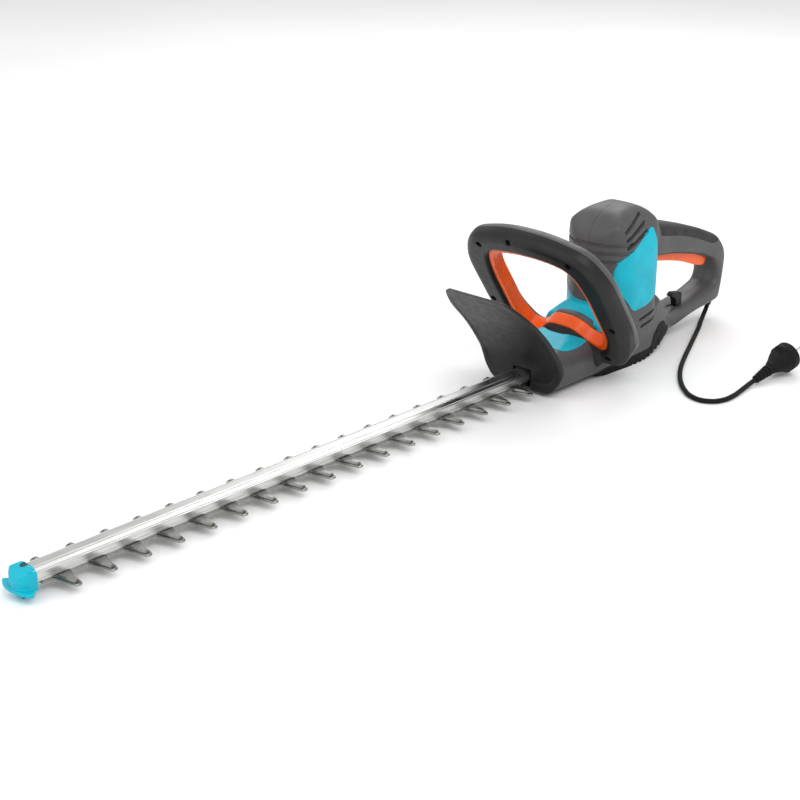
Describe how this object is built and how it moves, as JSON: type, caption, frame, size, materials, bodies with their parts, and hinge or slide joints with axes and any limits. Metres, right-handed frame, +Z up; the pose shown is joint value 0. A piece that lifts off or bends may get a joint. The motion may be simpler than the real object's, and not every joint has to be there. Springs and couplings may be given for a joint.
{
  "type": "hedge trimmer",
  "caption": "Corded electric hedge trimmer with a double-sided reciprocating blade, a front loop handle with a switch bar, a rear D handle with a trigger, and a hand guard.",
  "frame": {"origin": "on the floor under the motor's axis, in the flat sole of the foot", "axes": "+X forward along the blade to its tip, +Y to the operator's left, +Z up"},
  "size_m": [0.9481, 0.2705, 0.1685],
  "materials": {
    "body_grey": "satin",
    "handle_charcoal": "satin",
    "teal_plastic": "satin",
    "orange_plastic": "gloss",
    "blade_steel": "ground",
    "rail_aluminium": "extruded",
    "fastener_steel": "blackened",
    "bearing_steel": "ground",
    "laminated_iron": "laminated",
    "copper": "bright",
    "brass": "bright",
    "black_plastic": "matte",
    "black_rubber": "matte"
  },
  "bodies": {
    "chassis": {"housing_left": "body_grey", "housing_right": "body_grey", "side_panel_left": "teal_plastic", "side_panel_right": "teal_plastic", "gear_cover": "teal_plastic", "housing_screw_1": "fastener_steel", "housing_screw_2": "fastener_steel", "housing_screw_3": "fastener_steel", "hand_guard": "handle_charcoal", "guide_rail": "rail_aluminium", "blade_bolt_1": "fastener_steel", "blade_bolt_2": "fastener_steel", "blade_bolt_3": "fastener_steel", "blade_bolt_4": "fastener_steel", "blade_bolt_5": "fastener_steel", "blade_bolt_6": "fastener_steel", "tip_protector": "teal_plastic", "tip_screw": "fastener_steel", "front_handle_front": "handle_charcoal", "front_handle_rear": "handle_charcoal", "handle_screw_1": "fastener_steel", "handle_screw_2": "fastener_steel", "handle_screw_3": "fastener_steel", "handle_screw_4": "fastener_steel", "handle_screw_5": "fastener_steel", "handle_screw_6": "fastener_steel", "trigger_pin": "fastener_steel", "rear_switch": "black_plastic", "front_switch": "black_plastic", "grip_inlay": "black_rubber", "crank_bearing": "bearing_steel", "gear_case": "rail_aluminium", "lower_motor_bearing": "bearing_steel", "upper_motor_bearing": "bearing_steel", "motor_stator": "laminated_iron", "field_winding_upper": "copper", "field_winding_lower": "copper", "brush_holder_left": "brass", "brush_holder_right": "brass", "carbon_brush_left": "black_plastic", "carbon_brush_right": "black_plastic", "bearing_bracket": "black_plastic", "foot": "black_rubber", "power_cord": "black_rubber", "cord_sleeve": "black_rubber", "plug_body": "black_rubber", "plug_pin_1": "brass", "plug_pin_2": "brass", "cable_hook": "black_plastic"},
    "upper_blade": {"upper_blade": "blade_steel"},
    "lower_blade": {"lower_blade": "blade_steel"},
    "rotor": {"motor_shaft": "bearing_steel", "armature": "laminated_iron", "commutator": "copper", "fan": "black_plastic", "pinion": "bearing_steel"},
    "crank": {"drive_gear": "bearing_steel", "crank_shaft": "fastener_steel"},
    "switch_bar": {"front_switch_bar": "orange_plastic"},
    "trigger": {"rear_trigger": "orange_plastic"}
  },
  "joints": [
    {"name": "motor_spin", "type": "hinge", "parent": "chassis", "child": "rotor", "pos_m": [0, 0, 0.09], "axis": [0, 0, 1], "continuous": true},
    {"name": "gear_spin", "type": "hinge", "parent": "chassis", "child": "crank", "pos_m": [0.036, 0, 0.019], "axis": [0, 0, 1], "continuous": true},
    {"name": "upper_blade_slide", "type": "slide", "parent": "chassis", "child": "upper_blade", "axis": [1, 0, 0], "range_m": [-0.0076, 0.0076]},
    {"name": "lower_blade_slide", "type": "slide", "parent": "chassis", "child": "lower_blade", "axis": [1, 0, 0], "range_m": [-0.0076, 0.0076]},
    {"name": "front_switch_press", "type": "slide", "parent": "chassis", "child": "switch_bar", "axis": [0.5592, 0, 0.829], "range_m": [0, 0.002], "stiffness_N_per_m": 600, "springref_m": -0.002},
    {"name": "trigger_pull", "type": "hinge", "parent": "chassis", "child": "trigger", "pos_m": [-0.06, 0, 0.102], "axis": [0, 1, 0], "range_deg": [0, 4.5], "stiffness_Nm_per_rad": 2, "springref_deg": -8.59}
  ],
  "couplings": [
    {"joint": "gear_spin", "follows": "motor_spin", "ratio": -0.14286},
    {"joint": "lower_blade_slide", "follows": "upper_blade_slide", "ratio": -1}
  ]
}
